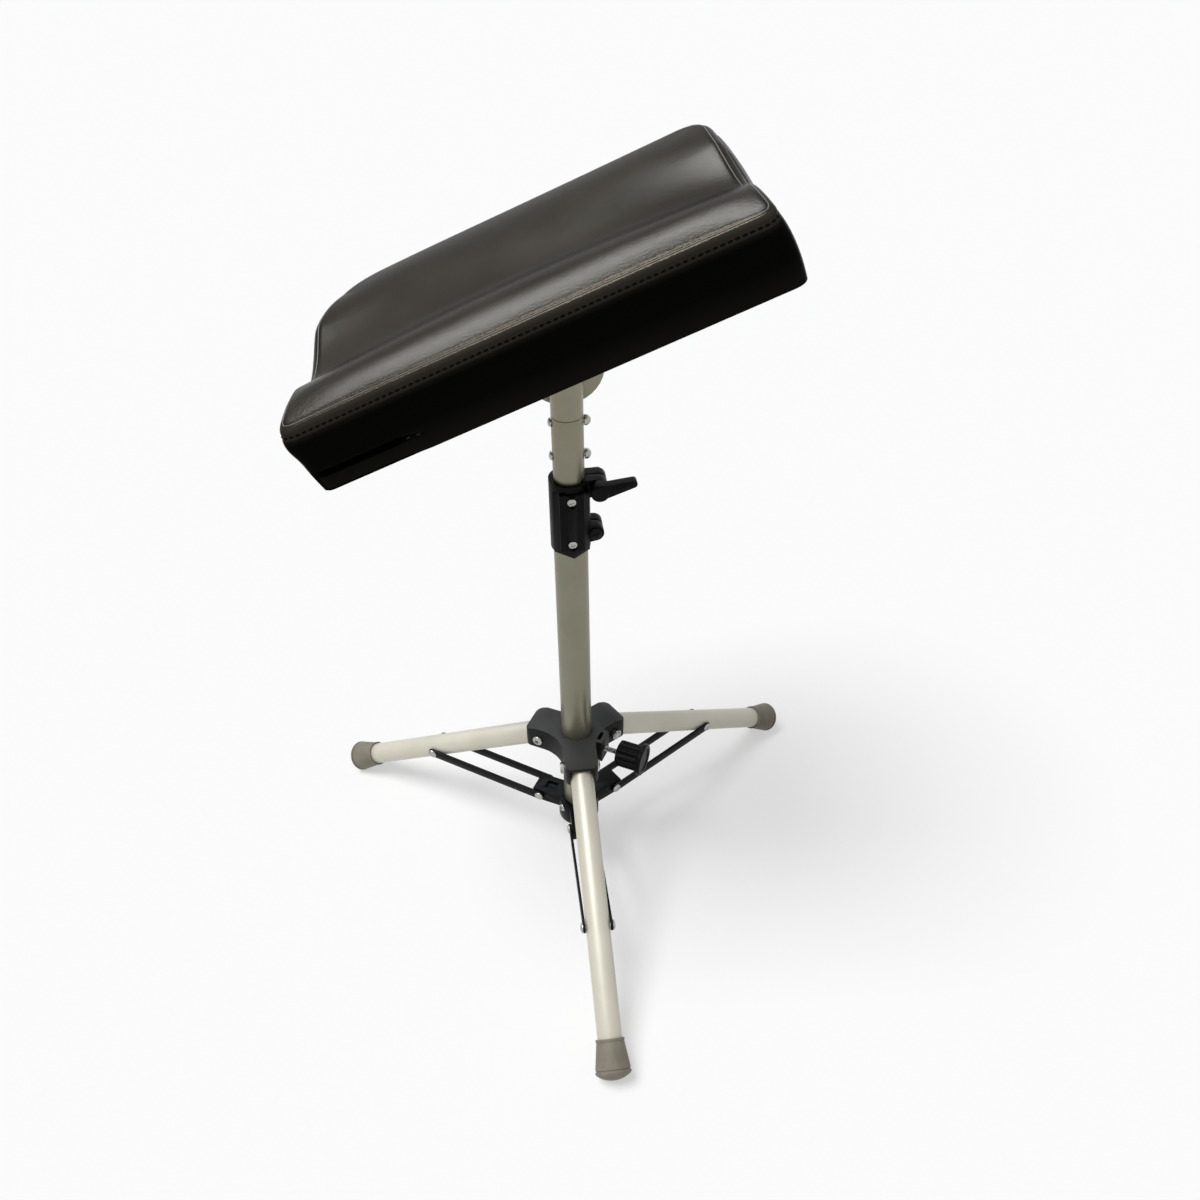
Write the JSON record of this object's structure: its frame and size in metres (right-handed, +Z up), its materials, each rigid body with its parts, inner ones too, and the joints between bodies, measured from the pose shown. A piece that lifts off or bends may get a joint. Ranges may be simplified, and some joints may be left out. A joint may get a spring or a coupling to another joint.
{
  "type": "pedicure footrest",
  "caption": "Padded foot trough that tilts and swivels on a telescopic mast with a lever clamp, over a folding tripod stand with braced legs.",
  "frame": {"origin": "on the floor under the middle of the three feet's box", "axes": "+Z up, the front leg points along -Y, the pad runs along X with its raised end at +X"},
  "size_m": [0.4208, 0.3682, 0.6037],
  "materials": {
    "champagne_paint": "satin champagne paint",
    "grey_plastic": "fine-grained dark grey moulding",
    "black_plastic": "black moulding with a low sheen",
    "black_paint": "black paint on flat steel",
    "foot_rubber": "taupe rubber",
    "black_vinyl": "semi-gloss black upholstery vinyl with a fine grain",
    "foam": "open foam, hidden by the cover",
    "plywood": "bare plywood",
    "white_nylon": "natural nylon",
    "bright_steel": "bright zinc-plated steel"
  },
  "bodies": {
    "hub": {"hub": "grey_plastic", "hub_lock_nut": "bright_steel", "pivot_bolt_front": "bright_steel", "pivot_nut_front": "bright_steel", "pivot_bolt_right": "bright_steel", "pivot_nut_right": "bright_steel", "pivot_bolt_left": "bright_steel", "pivot_nut_left": "bright_steel"},
    "leg_front": {"leg_tube_front": "champagne_paint", "foot_front": "foot_rubber", "brace_pin_front": "bright_steel"},
    "leg_right": {"leg_tube_right": "champagne_paint", "foot_right": "foot_rubber", "brace_pin_right": "bright_steel"},
    "leg_left": {"leg_tube_left": "champagne_paint", "foot_left": "foot_rubber", "brace_pin_left": "bright_steel"},
    "brace_front": {"brace_bar_front_a": "black_paint", "brace_bar_front_b": "black_paint"},
    "brace_right": {"brace_bar_right_a": "black_paint", "brace_bar_right_b": "black_paint"},
    "brace_left": {"brace_bar_left_a": "black_paint", "brace_bar_left_b": "black_paint"},
    "column": {"column_tube": "champagne_paint", "column_end_plug": "black_plastic", "lower_collar": "black_plastic", "collar_screw": "bright_steel", "collar_pin_front": "bright_steel", "collar_pin_right": "bright_steel", "collar_pin_left": "bright_steel", "clamp_body": "black_plastic", "clamp_front_screw_upper": "bright_steel", "clamp_front_screw_lower": "bright_steel", "clamp_ear_screw": "bright_steel", "lever_nut": "bright_steel"},
    "clamp_lever": {"clamp_lever": "black_plastic", "lever_stud": "bright_steel"},
    "hub_knob": {"hub_lock_knob": "black_plastic", "hub_lock_screw": "bright_steel"},
    "glide": {"mast_glide_bush": "white_nylon"},
    "mast": {"mast_tube": "champagne_paint", "neck_tube": "champagne_paint", "neck_spigot": "bright_steel", "neck_plug": "black_plastic", "splice_bolt_upper": "bright_steel", "splice_bolt_lower": "bright_steel", "splice_nut_upper": "bright_steel", "splice_nut_lower": "bright_steel", "tilt_washer": "bright_steel"},
    "tilt_knob": {"tilt_knob": "black_plastic", "tilt_stud": "bright_steel"},
    "pad": {"pad_cover": "black_vinyl", "pad_foam": "foam", "pad_board": "plywood", "tilt_bracket": "champagne_paint", "bracket_screw_a": "bright_steel", "bracket_screw_b": "bright_steel", "bracket_screw_c": "bright_steel", "bracket_screw_d": "bright_steel"}
  },
  "joints": [
    {"name": "leg_front_fold", "type": "hinge", "parent": "hub", "child": "leg_front", "pos_m": [0, 0.02552, 0.12821], "axis": [1, 0, 0], "range_deg": [0, 50]},
    {"name": "leg_right_fold", "type": "hinge", "parent": "hub", "child": "leg_right", "pos_m": [0.02599, 0.07054, 0.12821], "axis": [-0.5, 0.866, 0], "range_deg": [0, 50]},
    {"name": "leg_left_fold", "type": "hinge", "parent": "hub", "child": "leg_left", "pos_m": [-0.02599, 0.07054, 0.12821], "axis": [-0.5, -0.866, 0], "range_deg": [0, 50]},
    {"name": "brace_front_fold", "type": "hinge", "parent": "leg_front", "child": "brace_front", "pos_m": [0, -0.08481, 0.06451], "axis": [1, 0, 0], "range_deg": [-124.25, 0]},
    {"name": "brace_right_fold", "type": "hinge", "parent": "leg_right", "child": "brace_right", "pos_m": [0.12154, 0.1257, 0.06451], "axis": [-0.5, 0.866, 0], "range_deg": [-124.25, 0]},
    {"name": "brace_left_fold", "type": "hinge", "parent": "leg_left", "child": "brace_left", "pos_m": [-0.12154, 0.1257, 0.06451], "axis": [-0.5, -0.866, 0], "range_deg": [-124.25, 0]},
    {"name": "hub_slide", "type": "slide", "parent": "hub", "child": "column", "axis": [0, 0, 1], "range_m": [-0.1566, 0]},
    {"name": "hub_knob_turn", "type": "hinge", "parent": "hub", "child": "hub_knob", "pos_m": [0, 0.05553, 0.12821], "axis": [0.866, -0.5, 0], "continuous": true},
    {"name": "clamp_lever_turn", "type": "hinge", "parent": "column", "child": "clamp_lever", "pos_m": [0.02, 0.05553, 0.3855], "axis": [0, -1, 0], "range_deg": [0, 90]},
    {"name": "height", "type": "slide", "parent": "column", "child": "glide", "axis": [0, 0, 1], "range_m": [-0.012, 0.13]},
    {"name": "swivel", "type": "hinge", "parent": "glide", "child": "mast", "pos_m": [0, 0.05553, 0.18], "axis": [0, 0, 1], "continuous": true},
    {"name": "tilt", "type": "hinge", "parent": "mast", "child": "pad", "pos_m": [0, 0.05553, 0.468], "axis": [0, 1, 0], "range_deg": [-38, 82]},
    {"name": "tilt_knob_turn", "type": "hinge", "parent": "mast", "child": "tilt_knob", "pos_m": [0, 0.05553, 0.468], "axis": [0, 1, 0], "continuous": true}
  ],
  "couplings": [
    {"joint": "leg_right_fold", "follows": "leg_front_fold", "ratio": 1},
    {"joint": "leg_left_fold", "follows": "leg_front_fold", "ratio": 1},
    {"joint": "brace_front_fold", "follows": "leg_front_fold", "ratio": -2.4839},
    {"joint": "brace_right_fold", "follows": "leg_front_fold", "ratio": -2.4839},
    {"joint": "brace_left_fold", "follows": "leg_front_fold", "ratio": -2.4839},
    {"joint": "hub_slide", "follows": "leg_front_fold", "m_per_rad": -0.17934}
  ]
}
